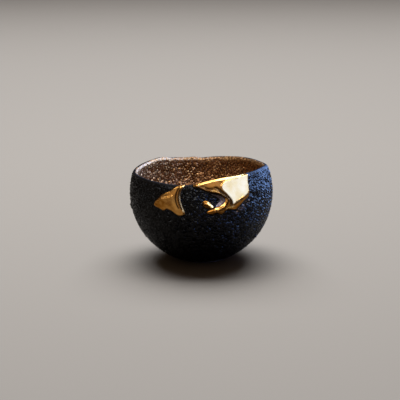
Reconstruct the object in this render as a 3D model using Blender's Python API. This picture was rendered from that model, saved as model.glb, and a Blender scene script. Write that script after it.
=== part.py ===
"""A gilded sake cup: one hollow stoneware bowl on a low foot ring, with a wavy lip.

The wall is a sphere, cut flat at the foot and open at the top. Two gilded plates stand out of its
front, with rolled edges that face a torn opening between them. All sizes are in metres, +Z is up,
the origin is on the ground in the middle of the foot, and the carved front faces -Y.
"""

import math

import bmesh
import bpy
import numpy as np

MM = 0.001

# The wall
BELLY_RADIUS = 36.0 * MM
BELLY_HEIGHT = 34.0 * MM
WALL = 2.6 * MM
LIP_RISE = 1.3 * MM
FLOOR_TOP = 4.8 * MM
FLOOR_LATITUDE = -90

# The foot ring
FOOT_RADIUS = 12.8 * MM
FOOT_RING = 3.0 * MM
FOOT_EDGE = 0.3 * MM
FOOT_HOLLOW = 1.6 * MM

# Height of the lip's crest, as (azimuth in degrees, height in millimetres).
# Azimuth 0 is the front, and it grows to the right.
LIP_CREST = (
    (-180, 44.4), (-175, 44.9), (-169, 44.7), (-152, 45.3), (-141, 46.1), (-128, 45.6), (-113, 45.1), (-85, 44.4),
    (-60, 44.7), (-30, 44.3), (-8, 44.7), (5, 46.5), (20, 47.8), (45, 48.4), (70, 48.7), (95, 47.4),
    (113, 46.8), (126, 46.8), (143, 46.4), (158, 45.6), (168, 45.1), (175, 44.6), (180, 44.4),
)  # fmt: skip

# The wall's slow unevenness, as (waves round the cup, phase in degrees, depth)
WALL_WAVES = ((2, 35, 0.16 * MM), (3, -60, 0.10 * MM), (5, 20, 0.05 * MM))
WAVES_START = -55
WAVES_FULL = -15

# Outlines of the carving, as (azimuth in degrees, height in millimetres) on the wall.
# A plate that reaches the lip is drawn on past it.
LEFT_PLATE = (
    (-12.8, 46.0), (-19.1, 44.3), (-22.5, 42.8), (-25.8, 41.2), (-28.9, 40.5), (-32.4, 39.2), (-35.5, 37.3),
    (-38.2, 35.7), (-39.8, 33.8), (-38.4, 32.9), (-34.7, 32.3), (-31.5, 31.5), (-29.7, 31.8), (-27.8, 32.5),
    (-24.7, 32.1), (-21.8, 31.1), (-19.3, 30.0), (-16.8, 29.6), (-14.0, 30.1), (-12.9, 31.5), (-14.5, 33.9),
    (-15.6, 35.9), (-16.3, 38.6), (-16.5, 40.8), (-15.8, 42.5), (-14.4, 43.7),
)  # fmt: skip
RIGHT_PLATE = (
    (-6.4, 45.4), (8, 50.0), (25, 51.5), (40.6, 51.5), (40.6, 44.5), (39.9, 38.3),
    (35.0, 36.2), (31.2, 34.3), (28.4, 32.8), (24.0, 32.5), (20.4, 32.8), (17.6, 31.2),
    (14.8, 30.6), (12.0, 31.3), (9.2, 30.6), (5.4, 31.0), (4.6, 32.2), (9.8, 33.5),
    (13.4, 34.5), (16.9, 35.6), (18.7, 37.3), (17.4, 38.8), (13.4, 40.2), (6.0, 41.5), (-1.0, 43.2),
)  # fmt: skip
LEAF = ((1.3, 36.8), (3.6, 37.4), (6.4, 36.4), (9.3, 34.4), (8.0, 33.4), (5.6, 33.5), (1.8, 35.0))
FACET = (
    (16.3, 44.9), (19.8, 46.1), (29.7, 46.9), (41.2, 47.9), (40.2, 44), (39.6, 39.7), (33.0, 38.0), (27.6, 36.4),
    (24.8, 35.0), (23.8, 35.6), (23.5, 37.2), (21.6, 39.2), (17.8, 41.4), (15.6, 43.0),
)  # fmt: skip
TEAR = ((3.6, 38.2), (6.0, 40.4), (10.0, 40.4), (14.0, 39.4), (17.0, 37.8), (16.0, 36.0), (12.0, 34.8), (7.6, 36.2))

PLATE_LIFT = 0.45 * MM
PLATE_EDGE = 0.9 * MM
TEAR_DEPTH = 0.9 * MM
TEAR_EDGE = 1.3 * MM

# The flat facet's middle, as (azimuth in degrees, height in millimetres), how far it stands out
# of the sphere there, and the width of the blend at its border
FACET_MIDDLE = (30.0, 41.5)
FACET_LIFT = 0.1 * MM
FACET_EDGE = 1.0 * MM

# Rolled edges and folds of the plates, as (half width, height, points along the crest)
FOLDS = {
    "left roll": (1.4 * MM, 0.55 * MM, ((-15.0, 43.8), (-17.4, 41.0), (-17.9, 38.2), (-16.8, 34.8), (-14.8, 31.8))),
    "left crease": (1.6 * MM, 0.33 * MM, ((-38.4, 35.6), (-34.1, 36.7), (-30.2, 37.5), (-26.4, 38.0), (-23.4, 38.9))),
    "left top": (1.6 * MM, 0.35 * MM, ((-30.4, 40.3), (-26.5, 41.6), (-22.6, 42.6))),
    "left dip": (2.4 * MM, -0.15 * MM, ((-24.6, 42.0), (-24.8, 38.0), (-22.4, 34.4))),
    "right roll": (1.3 * MM, 0.65 * MM, (
        (-4.2, 44.8), (0.6, 43.1), (4.6, 42.1), (9.6, 41.6), (13.8, 40.9), (17.7, 39.4), (20.2, 37.8),
    )),
    "hook": (1.8 * MM, 0.45 * MM, ((21.0, 37.4), (20.8, 36.2), (19.5, 34.8), (17.5, 33.6), (14.2, 32.9), (10.6, 32.5))),
    "lower roll": (1.3 * MM, 0.30 * MM, ((26.0, 33.6), (20.7, 33.2), (16.0, 32.2), (8.0, 31.7))),
    "leaf edge": (1.2 * MM, 0.40 * MM, ((1.8, 35.6), (4.0, 35.7), (6.3, 34.7), (8.0, 33.8))),
}  # fmt: skip

# Chamfers that cut the plates down to an edge, as (slope, points along the edge)
CHAMFERS = (
    (0.72, ((10.0, 33.6), (13.4, 34.5), (16.9, 35.6), (18.7, 37.3), (19.2, 38.2))),
    (0.27, ((27.4, 32.8), (31.2, 34.3), (35.0, 36.2), (39.9, 38.3), (41.5, 39.0))),
)
CHAMFER_FOOT = 0.05 * MM

# How finely the bowl is cut into facets
FRONT_HALF_ANGLE = 45
FRONT_STEP = 1
COARSE_EVERY = 3
BACK_STEP = 9
CARVED_FROM = 28.0 * MM
BELLY_ROWS = 6
CARVED_ROWS = 25
LIP_ROWS = 5
INNER_ROWS = 10
LINE_STEPS = 6
SHARP_ANGLE = 50


def smooth_step(x):
    """0 below 0, 1 above 1, and an even slope between."""
    x = np.clip(x, 0, 1)
    return x * x * (3 - 2 * x)


def azimuth_within_half_turn(azimuths):
    return (azimuths + 180) % 360 - 180


def lip_crest(azimuths):
    """Height of the lip's crest: a smooth curve through the named heights, closed all round."""
    angles, heights = np.array(LIP_CREST, float).T
    slopes = np.gradient(heights, angles)
    slopes[[0, -1]] = (heights[1] - heights[-2]) / (angles[1] - angles[-2] + 360)
    turned = azimuth_within_half_turn(azimuths)
    before = np.clip(np.searchsorted(angles, turned) - 1, 0, len(angles) - 2)
    span = angles[before + 1] - angles[before]
    t = (turned - angles[before]) / span
    rise = heights[before + 1] - heights[before]
    ease = smooth_step(t)
    start = slopes[before] * span * t * (1 - t) ** 2
    end = slopes[before + 1] * span * t**2 * (t - 1)
    return (heights[before] + rise * ease + start + end) * MM


def latitude_of(heights):
    """Angle in degrees above the belly's widest line of heights on the wall."""
    return np.degrees(np.arcsin((heights - BELLY_HEIGHT) / BELLY_RADIUS))


def outward(azimuths, latitudes):
    """Unit vectors away from the belly's middle."""
    turn = np.radians(azimuths)
    rise = np.radians(latitudes + np.zeros_like(turn))
    return np.stack([np.cos(rise) * np.sin(turn), -np.cos(rise) * np.cos(turn), np.sin(rise)], axis=-1)


def chart(azimuths, latitudes):
    """The wall laid out flat: metres to the right of the front and metres above the widest line."""
    return BELLY_RADIUS * np.radians(np.stack([azimuths, latitudes], axis=-1))


def drawn(points, closed=False):
    """A smooth line on the chart through points given as (azimuth, height in millimetres)."""
    azimuths, heights = np.array(points, float).T
    knots = list(chart(azimuths, latitude_of(heights * MM)))
    if closed:
        knots = [knots[-1], *knots, knots[0], knots[1]]
    else:
        knots = [2 * knots[0] - knots[1], *knots, 2 * knots[-1] - knots[-2]]
    line = []
    for before, start, end, after in zip(knots, knots[1:], knots[2:], knots[3:]):
        for t in np.arange(LINE_STEPS) / LINE_STEPS:
            bend = 2 * before - 5 * start + 4 * end - after
            twist = 3 * start - before - 3 * end + after
            line.append(start + (end - before) * t / 2 + bend * t**2 / 2 + twist * t**3 / 2)
    if not closed:
        line.append(knots[-2])
    return np.array(line)


def distance_to(places, line, closed=False):
    """Shortest distance on the chart from each place to a line."""
    nearest = np.full(len(places), np.inf)
    ends = np.roll(line, -1, axis=0) if closed else line[1:]
    for start, end in zip(line, ends):
        along = end - start
        share = np.clip((places - start) @ along / (along @ along), 0, 1)
        nearest = np.minimum(nearest, np.linalg.norm(places - start - share[:, None] * along, axis=1))
    return nearest


def depth_inside(places, outline):
    """Distance of each place in from an outline's edge, negative outside it."""
    inside = np.zeros(len(places), bool)
    for start, end in zip(outline, np.roll(outline, -1, axis=0)):
        spans = (start[1] > places[:, 1]) != (end[1] > places[:, 1])
        rise = end[1] - start[1] if end[1] != start[1] else 1
        crossing = start[0] + (places[:, 1] - start[1]) * (end[0] - start[0]) / rise
        inside ^= spans & (crossing > places[:, 0])
    return distance_to(places, outline, closed=True) * np.where(inside, 1, -1)


def carving(azimuths, latitudes):
    """How far the plates with their folds and facet stand out of the plain sphere, and the tear into it."""
    turned = azimuth_within_half_turn(azimuths)
    places = chart(turned, latitudes)
    lift = np.full(len(places), PLATE_LIFT)
    for half_width, height, crest in FOLDS.values():
        lift += height * smooth_step(1 - distance_to(places, drawn(crest)) / half_width)
    facing = outward(FACET_MIDDLE[0], latitude_of(FACET_MIDDLE[1] * MM))
    across = np.maximum(outward(turned, latitudes) @ facing, 0.5)
    flat = (BELLY_RADIUS + FACET_LIFT) / across - BELLY_RADIUS
    lift += (flat - lift) * smooth_step(depth_inside(places, drawn(FACET, closed=True)) / FACET_EDGE + 0.5)
    outlines = [drawn(outline, closed=True) for outline in (LEFT_PLATE, RIGHT_PLATE, LEAF)]
    depth = np.max([depth_inside(places, outline) for outline in outlines], axis=0)
    lift *= smooth_step(depth / PLATE_EDGE + 0.3)
    for slope, edge in CHAMFERS:
        lift = np.minimum(lift, slope * distance_to(places, drawn(edge)) + CHAMFER_FOOT)
    return lift - TEAR_DEPTH * smooth_step(depth_inside(places, drawn(TEAR, closed=True)) / TEAR_EDGE + 0.3)


def unevenness(azimuths, latitudes):
    """The wall's slow waves, which fade towards the foot."""
    waves = sum(depth * np.sin(np.radians(count * azimuths + phase)) for count, phase, depth in WALL_WAVES)
    return waves * smooth_step((latitudes - WAVES_START) / (WAVES_FULL - WAVES_START))


def wall_points(azimuths, latitudes, out):
    """Points at distances from the belly's middle."""
    return out[:, None] * outward(azimuths, latitudes) + np.array([0, 0, BELLY_HEIGHT])


def ring_points(azimuths, radius, height):
    """Points on a level circle."""
    return radius * outward(azimuths, 0) + np.array([0, 0, height])


class Columns:
    """Azimuths of the bowl's sections: close together over the carved front, wide apart behind."""

    def __init__(self):
        front = np.arange(-FRONT_HALF_ANGLE, FRONT_HALF_ANGLE + 1, FRONT_STEP)
        behind = np.arange(FRONT_HALF_ANGLE + BACK_STEP, 360 - FRONT_HALF_ANGLE, BACK_STEP)
        self.azimuths = np.concatenate([front, behind]).astype(float)
        self.every = list(range(len(self.azimuths)))
        self.some = [i for i in self.every if i >= len(front) or i % COARSE_EVERY == 0]


def foot_rows(azimuths):
    """Rows from under the middle of the cup out to where the wall leaves the foot."""
    ring_inside = FOOT_RADIUS - FOOT_RING
    wall_leaves = BELLY_HEIGHT - math.sqrt(BELLY_RADIUS**2 - FOOT_RADIUS**2)
    section = (
        (ring_inside / 2, FOOT_HOLLOW),
        (ring_inside - 2 * FOOT_EDGE, FOOT_HOLLOW - FOOT_EDGE),
        (ring_inside - FOOT_EDGE, FOOT_EDGE),
        (ring_inside, 0),
        (FOOT_RADIUS - FOOT_EDGE, 0),
        (FOOT_RADIUS, FOOT_EDGE),
        (FOOT_RADIUS, wall_leaves),
    )
    return [ring_points(azimuths, radius, height) for radius, height in section]


def outer_row(azimuths, latitudes):
    out = BELLY_RADIUS + unevenness(azimuths, latitudes) + carving(azimuths, latitudes)
    return wall_points(azimuths, latitudes, out)


def lip_latitude(azimuths):
    """Where the outer wall stops, so that the round of the lip reaches up to its crest."""
    middle = BELLY_RADIUS - WALL / 2
    tip = math.degrees(math.atan2(LIP_RISE, middle))
    return np.degrees(np.arcsin((lip_crest(azimuths) - BELLY_HEIGHT) / math.hypot(middle, LIP_RISE))) - tip


def lip_row(azimuths, turn):
    """A row over the round of the lip, by the angle turned from the outer wall to the inner one."""
    latitudes = lip_latitude(azimuths)
    outer = carving(azimuths, latitudes) * max(math.cos(turn), 0)
    out = BELLY_RADIUS - WALL / 2 * (1 - math.cos(turn)) + unevenness(azimuths, latitudes) + outer
    rise = LIP_RISE * math.sin(turn)
    return wall_points(azimuths, latitudes, out) + rise * outward(azimuths, latitudes + 90)


def inner_row(azimuths, share):
    """A row down the inside, by its share of the way from the lip to the middle of the floor."""
    top = lip_latitude(azimuths)
    latitudes = top + share * (FLOOR_LATITUDE - top)
    out = BELLY_RADIUS - WALL + unevenness(azimuths, latitudes)
    points = wall_points(azimuths, latitudes, out)
    floor_depth = BELLY_HEIGHT - FLOOR_TOP
    below = points[:, 2] < BELLY_HEIGHT
    points[below, 2] = BELLY_HEIGHT + (points[below, 2] - BELLY_HEIGHT) * floor_depth / (BELLY_RADIUS - WALL)
    return points


def bowl_rows(columns):
    """Every row from under the foot to the floor inside, as (column numbers, points)."""
    wide = columns.azimuths[columns.some]
    foot_latitude = -math.degrees(math.acos(FOOT_RADIUS / BELLY_RADIUS))
    carved_latitude = latitude_of(CARVED_FROM)
    rows = [(columns.some, points) for points in foot_rows(wide)]
    for latitude in np.linspace(foot_latitude, carved_latitude, BELLY_ROWS + 2)[1:-1]:
        rows.append((columns.some, outer_row(wide, np.full(len(wide), latitude))))
    rise = lip_latitude(columns.azimuths) - carved_latitude
    for share in np.linspace(0, 1, CARVED_ROWS):
        rows.append((columns.every, outer_row(columns.azimuths, carved_latitude + share * rise)))
    for turn in np.linspace(0, math.pi, LIP_ROWS + 2)[1:-1]:
        rows.append((columns.some, lip_row(wide, turn)))
    for share in np.arange(INNER_ROWS) / INNER_ROWS:
        rows.append((columns.some, inner_row(wide, share)))
    return rows


def stretch(row, start, end, count):
    """A row's points from one column to another, which may lie past the seam."""
    last = end if end > start else end + count
    return [row[column % count] for column in range(start, last + 1) if column % count in row]


def cup_mesh():
    """The whole bowl as one closed mesh: bands of faces between rows, and a fan at each pole."""
    columns = Columns()
    count = len(columns.azimuths)
    points = [(0, 0, FOOT_HOLLOW), (0, 0, FLOOR_TOP)]
    rows = []
    for numbers, row_points in bowl_rows(columns):
        rows.append({column: len(points) + i for i, column in enumerate(numbers)})
        points.extend(map(tuple, row_points))
    faces = []
    for lower, upper in zip(rows, rows[1:]):
        shared = sorted(set(lower) & set(upper))
        for start, end in zip(shared, shared[1:] + shared[:1]):
            faces.append(stretch(lower, start, end, count) + stretch(upper, start, end, count)[::-1])
    for start, end in zip(columns.some, columns.some[1:] + columns.some[:1]):
        faces.append([0, rows[0][end], rows[0][start]])
        faces.append([1, rows[-1][start], rows[-1][end]])
    mesh = bpy.data.meshes.new("cup")
    mesh.from_pydata(points, [], faces)
    return mesh


def cut_into_triangles(mesh):
    """Splits each face along its shorter diagonals, which follow the folds best."""
    shape = bmesh.new()
    shape.from_mesh(mesh)
    bmesh.ops.triangulate(shape, faces=shape.faces, quad_method="SHORT_EDGE", ngon_method="BEAUTY")
    shape.to_mesh(mesh)
    shape.free()
    mesh.shade_smooth()
    mesh.set_sharp_from_angle(angle=math.radians(SHARP_ANGLE))


def black_glaze():
    material = bpy.data.materials.new("black glaze")
    material.use_nodes = True
    shader = material.node_tree.nodes["Principled BSDF"]
    shader.inputs["Base Color"].default_value = (0.012, 0.012, 0.014, 1)
    shader.inputs["Roughness"].default_value = 0.35
    shader.inputs["Metallic"].default_value = 0.0
    return material


def build():
    for thing in list(bpy.data.objects):
        bpy.data.objects.remove(thing)
    mesh = cup_mesh()
    cut_into_triangles(mesh)
    mesh.materials.append(black_glaze())
    cup = bpy.data.objects.new("cup", mesh)
    bpy.context.scene.collection.objects.link(cup)


build()
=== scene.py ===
# %% [markdown]
# # A gilded sake cup
#
# The real cup is one small bowl of stoneware. Its outside is covered in tiny beads of black glaze, its
# inside in larger bronze ones, and two plates on its front carry bright gold. Here the whole cup is one
# fine mesh. Every bead is real geometry, so that it catches the light from any side, and the gold is
# smooth geometry that reflects like metal. The script opens by loading the solid that it dresses.

# %% Tools and the fixed frame
import math

import bpy
import numpy as np
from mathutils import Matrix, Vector, geometry


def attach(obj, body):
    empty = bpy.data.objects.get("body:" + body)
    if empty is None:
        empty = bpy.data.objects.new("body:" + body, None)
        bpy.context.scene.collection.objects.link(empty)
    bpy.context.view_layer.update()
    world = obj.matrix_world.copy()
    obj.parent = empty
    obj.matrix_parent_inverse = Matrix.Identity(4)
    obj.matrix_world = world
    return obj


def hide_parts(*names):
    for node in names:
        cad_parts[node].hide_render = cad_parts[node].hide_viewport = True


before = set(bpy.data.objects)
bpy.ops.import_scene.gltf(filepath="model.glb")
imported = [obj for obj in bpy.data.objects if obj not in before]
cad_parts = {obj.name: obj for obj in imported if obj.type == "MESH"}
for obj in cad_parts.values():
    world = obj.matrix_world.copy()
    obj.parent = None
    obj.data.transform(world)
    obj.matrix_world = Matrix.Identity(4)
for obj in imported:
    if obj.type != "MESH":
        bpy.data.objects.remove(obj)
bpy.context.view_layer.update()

# %% [markdown]
# ## The cup's own measures
#
# The wall is a sphere, cut flat at the foot and open at the top. A profile turned with a Screw modifier
# would give the plain bowl, but this lip rises and falls all the way round and the wall is a little
# uneven, so formulas place every point instead. The sizes are the solid's own driving dimensions. Named
# lengths are in metres, and the tables of points and lines are in millimetres. Each point there is an
# azimuth in degrees, 0 at the front and growing to the right, and a height above the floor.

# %% Wall and floor
MM = 0.001
BELLY_RADIUS = 36.0 * MM
BELLY_HEIGHT = 34.0 * MM
WALL = 2.6 * MM
INNER_RADIUS = BELLY_RADIUS - WALL
LIP_RISE = 1.3 * MM
LIP_LENGTH = math.pi * LIP_RISE
FLOOR_TOP = 4.8 * MM
print("belly", round(2 * BELLY_RADIUS / MM, 1), "mm across, wall", round(WALL / MM, 1), "mm thick")

# %% The lip's crest
LIP_CREST = (
    (-180, 44.4), (-175, 44.9), (-169, 44.7), (-152, 45.3), (-141, 46.1), (-128, 45.6), (-113, 45.1),
    (-85, 44.4), (-60, 44.7), (-30, 44.3), (-8, 44.7), (5, 46.5), (20, 47.8), (45, 48.4), (70, 48.7),
    (95, 47.4), (113, 46.8), (126, 46.8), (143, 46.4), (158, 45.6), (168, 45.1), (175, 44.6), (180, 44.4),
)  # fmt: skip


def smooth_step(x):
    """0 below 0, 1 above 1, and an even slope between."""
    x = np.clip(x, 0, 1)
    return x * x * (3 - 2 * x)


def within_half_turn(azimuths):
    return (azimuths + 180) % 360 - 180


def lip_crest(azimuths):
    """Height of the lip's crest: a smooth curve through the named heights, closed all round."""
    angles, heights = np.array(LIP_CREST, float).T
    slopes = np.gradient(heights, angles)
    slopes[[0, -1]] = (heights[1] - heights[-2]) / (angles[1] - angles[-2] + 360)
    turned = within_half_turn(azimuths)
    before = np.clip(np.searchsorted(angles, turned) - 1, 0, len(angles) - 2)
    span = angles[before + 1] - angles[before]
    t = (turned - angles[before]) / span
    rise = heights[before + 1] - heights[before]
    start = slopes[before] * span * t * (1 - t) ** 2
    end = slopes[before + 1] * span * t**2 * (t - 1)
    return (heights[before] + rise * smooth_step(t) + start + end) * MM


all_round = lip_crest(np.arange(360)) / MM
print("lip from", round(all_round.min(), 1), "to", round(all_round.max(), 1), "mm")


# %% Where the wall ends
def latitude_of(heights):
    """Angle in degrees above the belly's widest line of heights on the wall."""
    return np.degrees(np.arcsin((heights - BELLY_HEIGHT) / BELLY_RADIUS))


def lip_latitude(azimuths):
    """Where the outer wall stops, so that the round of the lip reaches up to its crest."""
    middle = BELLY_RADIUS - WALL / 2
    tip = math.degrees(math.atan2(LIP_RISE, middle))
    crest = np.arcsin((lip_crest(azimuths) - BELLY_HEIGHT) / math.hypot(middle, LIP_RISE))
    return np.degrees(crest) - tip


print("the wall ends", round(float(lip_latitude(0.0)), 1), "degrees above its widest line at the front")

# %% Directions, and the wall's slow waves
WALL_WAVES = ((2, 35, 0.16 * MM), (3, -60, 0.10 * MM), (5, 20, 0.05 * MM))
WAVES_START = -55
WAVES_FULL = -15


def outward(azimuths, latitudes):
    """Unit vectors away from the belly's middle."""
    turn = np.radians(azimuths)
    rise = np.radians(latitudes + np.zeros_like(turn))
    return np.stack([np.cos(rise) * np.sin(turn), -np.cos(rise) * np.cos(turn), np.sin(rise)], axis=-1)


def waves_round(azimuths, waves):
    """A sum of waves round the cup, each given by its count, its phase in degrees and its depth."""
    return sum(depth * np.sin(np.radians(count * azimuths + phase)) for count, phase, depth in waves)


def unevenness(azimuths, latitudes):
    """The wall's slow waves, which fade towards the foot."""
    share = smooth_step((latitudes - WAVES_START) / (WAVES_FULL - WAVES_START))
    return waves_round(azimuths, WALL_WAVES) * share


print("the wall is uneven by", round(np.abs(unevenness(np.arange(360), 0)).max() / MM, 2), "mm at most")

# %% [markdown]
# ## The gilded relief
#
# On the real cup the gold lies on two raised plates with thick, rolled edges, like torn leather. Each
# outline is a smooth curve through a few points, and each fold is a crest line with a width and a height,
# so the whole relief is one function that says how far the wall stands out at any place. A mirror finish
# shows every bump, so a formula serves it better than pushing points about by hand.

# %% Outlines of the plates, the facet and the tear
LEFT_PLATE = (
    (-12.8, 46.0), (-19.1, 44.3), (-22.5, 42.8), (-25.8, 41.2), (-28.9, 40.5), (-32.4, 39.2), (-35.5, 37.3),
    (-38.2, 35.7), (-39.8, 33.8), (-38.4, 32.9), (-34.7, 32.3), (-31.5, 31.5), (-29.7, 31.8), (-27.8, 32.5),
    (-24.7, 32.1), (-21.8, 31.1), (-19.3, 30.0), (-16.8, 29.6), (-14.0, 30.1), (-12.9, 31.5), (-14.5, 33.9),
    (-15.6, 35.9), (-16.3, 38.6), (-16.5, 40.8), (-15.8, 42.5), (-14.4, 43.7),
)  # fmt: skip
RIGHT_PLATE = (
    (-6.4, 45.4), (8, 50.0), (25, 51.5), (40.6, 51.5), (40.6, 44.5), (39.9, 38.3),
    (35.0, 36.2), (31.2, 34.3), (28.4, 32.8), (24.0, 32.5), (20.4, 32.8), (17.6, 31.2),
    (14.8, 30.6), (12.0, 31.3), (9.2, 30.6), (5.4, 31.0), (4.6, 32.2), (9.8, 33.5),
    (13.4, 34.5), (16.9, 35.6), (18.7, 37.3), (17.4, 38.8), (13.4, 40.2), (6.0, 41.5), (-1.0, 43.2),
)  # fmt: skip
LEAF = ((1.3, 36.8), (3.6, 37.4), (6.4, 36.4), (9.3, 34.4), (8.0, 33.4), (5.6, 33.5), (1.8, 35.0))
FACET = (
    (16.3, 44.9), (19.8, 46.1), (29.7, 46.9), (41.2, 47.9), (40.2, 44), (39.6, 39.7), (33.0, 38.0),
    (27.6, 36.4), (24.8, 35.0), (23.8, 35.6), (23.5, 37.2), (21.6, 39.2), (17.8, 41.4), (15.6, 43.0),
)  # fmt: skip
TEAR = (
    (3.6, 38.2), (6.0, 40.4), (10.0, 40.4), (14.0, 39.4),
    (17.0, 37.8), (16.0, 36.0), (12.0, 34.8), (7.6, 36.2),
)  # fmt: skip
CRESCENT = (
    (7.5, 40.5), (11.3, 40.1), (14.8, 39.4), (17.8, 38.2), (18.0, 36.7), (15.6, 35.2), (12.0, 34.1),
    (10.6, 34.2), (12.9, 35.7), (14.5, 36.8), (14.6, 37.9), (12.4, 39.1),
)  # fmt: skip
print(len(LEFT_PLATE), "points draw the left plate and", len(RIGHT_PLATE), "the right one")

# %% How far each form stands out
PLATE_LIFT = 0.45 * MM
PLATE_EDGE = 0.65 * MM
TEAR_DEPTH = 0.9 * MM
TEAR_EDGE = 1.3 * MM
TEAR_OUTSIDE = 0.3  # share of the edge's width outside the outline
FACET_MIDDLE = (30.0, 41.5)
FACET_LIFT = 0.1 * MM
FACET_EDGE = 0.6 * MM
FACET_OUTSIDE = 0.5
LEAST_FACING = 0.5  # keeps the facet's plane from running off to infinity round the side
# Each fold: half its width, its height and the points of its crest.
FOLDS = {
    "left roll": (0.7, 0.55, ((-14.9, 43.8), (-17.0, 40.8), (-16.9, 37.6), (-15.0, 34.0), (-13.8, 31.6))),
    "left second roll": (0.6, 0.40, (
        (-16.4, 43.6), (-18.0, 41.9), (-18.9, 38.8), (-18.0, 35.8), (-16.3, 33.5),
    )),
    "left crease": (0.9, 0.38, (
        (-38.4, 35.6), (-34.1, 36.7), (-30.2, 37.5), (-26.4, 38.0), (-23.4, 38.9),
    )),
    "left top": (1.3, 0.35, ((-30.4, 40.3), (-26.5, 41.6), (-22.6, 42.6))),
    "left dip": (2.4, -0.15, ((-24.6, 42.0), (-24.8, 38.0), (-22.4, 34.4))),
    "right roll": (0.9, 0.70, (
        (-4.2, 44.8), (0.6, 43.1), (4.6, 42.1), (9.6, 41.6), (13.8, 40.9), (17.7, 39.4), (20.2, 37.8),
    )),
    "right groove": (0.6, -0.35, (
        (-1.2, 44.3), (2.2, 44.0), (4.4, 43.1), (6.7, 42.9), (9.7, 43.2), (12.0, 43.1), (14.6, 42.0),
        (17.1, 40.5), (20.9, 38.8), (23.2, 37.0), (23.4, 35.4),
    )),
    "hook": (1.6, 0.45, ((21.0, 37.4), (20.8, 36.2), (19.5, 34.8), (17.5, 33.6), (14.2, 32.9), (10.6, 32.5))),
    "lower roll": (0.9, 0.30, ((26.0, 33.6), (20.7, 33.2), (16.0, 32.2), (8.0, 31.7))),
    "leaf edge": (0.9, 0.35, ((1.8, 35.6), (4.0, 35.7), (6.3, 34.7), (8.0, 33.8))),
}  # fmt: skip
HOOK_EDGE = ((10.0, 33.6), (13.4, 34.5), (16.9, 35.6), (18.7, 37.3), (19.2, 38.2))
HOOK_SLOPE = 0.72
BEVEL_EDGE = ((27.4, 32.8), (31.2, 34.3), (35.0, 36.2), (39.9, 38.3), (41.5, 39.0))
BEVEL_SLOPE = 0.27
CHAMFER_FOOT = 0.05 * MM
fold_heights = [height for _, height, _ in FOLDS.values()]
print(len(FOLDS), "folds, from", min(fold_heights), "to", max(fold_heights), "mm high")

# %% Smooth lines on the unrolled wall
LINE_STEPS = 10


def chart(azimuths, latitudes):
    """The wall laid out flat: metres to the right of the front and metres above the widest line."""
    return BELLY_RADIUS * np.radians(np.stack([azimuths, latitudes], axis=-1))


def drawn(points, closed=False):
    """A smooth (Catmull-Rom) line on the chart through points given as (azimuth, height in mm)."""
    azimuths, heights = np.array(points, float).T
    knots = list(chart(azimuths, latitude_of(heights * MM)))
    if closed:
        knots = [knots[-1], *knots, knots[0], knots[1]]
    else:
        knots = [2 * knots[0] - knots[1], *knots, 2 * knots[-1] - knots[-2]]
    line = []
    for before, start, end, after in zip(knots, knots[1:], knots[2:], knots[3:]):
        for t in np.arange(LINE_STEPS) / LINE_STEPS:
            bend = 2 * before - 5 * start + 4 * end - after
            twist = 3 * start - before - 3 * end + after
            line.append(start + (end - before) * t / 2 + bend * t**2 / 2 + twist * t**3 / 2)
    if not closed:
        line.append(knots[-2])
    return np.array(line)


left_width = np.ptp(drawn(LEFT_PLATE, closed=True)[:, 0])
print("the left plate is", round(left_width / MM, 1), "mm wide on the chart")


# %% Distances on the chart
def distance_to(places, line, closed=False):
    """Shortest distance on the chart from each place to a line."""
    nearest = np.full(len(places), np.inf)
    ends = np.roll(line, -1, axis=0) if closed else line[1:]
    for start, end in zip(line, ends):
        along = end - start
        share = np.clip((places - start) @ along / (along @ along), 0, 1)
        nearest = np.minimum(nearest, np.linalg.norm(places - start - share[:, None] * along, axis=1))
    return nearest


def depth_inside(places, outline):
    """Distance of each place in from an outline's edge, negative outside it."""
    inside = np.zeros(len(places), bool)
    for start, end in zip(outline, np.roll(outline, -1, axis=0)):
        spans = (start[1] > places[:, 1]) != (end[1] > places[:, 1])
        rise = end[1] - start[1] if end[1] != start[1] else 1
        crossing = start[0] + (places[:, 1] - start[1]) * (end[0] - start[0]) / rise
        inside ^= spans & (crossing > places[:, 0])
    return distance_to(places, outline, closed=True) * np.where(inside, 1, -1)


leaf = drawn(LEAF, closed=True)
leaf_middle = leaf.mean(0, keepdims=True)
print("the leaf's middle is", round(depth_inside(leaf_middle, leaf)[0] / MM, 2), "mm in from its edge")

# %% Edges, steps and the facet
PLATES = [drawn(outline, closed=True) for outline in (LEFT_PLATE, RIGHT_PLATE, LEAF)]
CRESTS = [(half_width * MM, height * MM, drawn(points)) for half_width, height, points in FOLDS.values()]
FACET_LINE = drawn(FACET, closed=True)
TEAR_LINE = drawn(TEAR, closed=True)
CRESCENT_LINE = drawn(CRESCENT, closed=True)
CHAMFERS = ((HOOK_SLOPE, drawn(HOOK_EDGE)), (BEVEL_SLOPE, drawn(BEVEL_EDGE)))
FACET_FACING = outward(FACET_MIDDLE[0], latitude_of(FACET_MIDDLE[1] * MM))


def plate_depth(places):
    """Distance in from the edge of the nearest plate, negative on the black ground."""
    return np.max([depth_inside(places, outline) for outline in PLATES], axis=0)


def rounded_edge(depth):
    """A quarter wave from 0 at the plate's edge up to 1."""
    return np.sin(np.pi / 2 * np.clip(depth / PLATE_EDGE, 0, 1))


def across_edge(places, outline, width, outside):
    """A soft step from 0 to 1 over an outline's edge, with a share of its width outside the outline."""
    return smooth_step(depth_inside(places, outline) / width + outside)


def on_facet(places):
    """1 on the facet and 0 away from it."""
    return across_edge(places, FACET_LINE, FACET_EDGE, FACET_OUTSIDE)


print(len(PLATES), "gilded outlines and", len(CRESTS), "folds")


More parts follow.
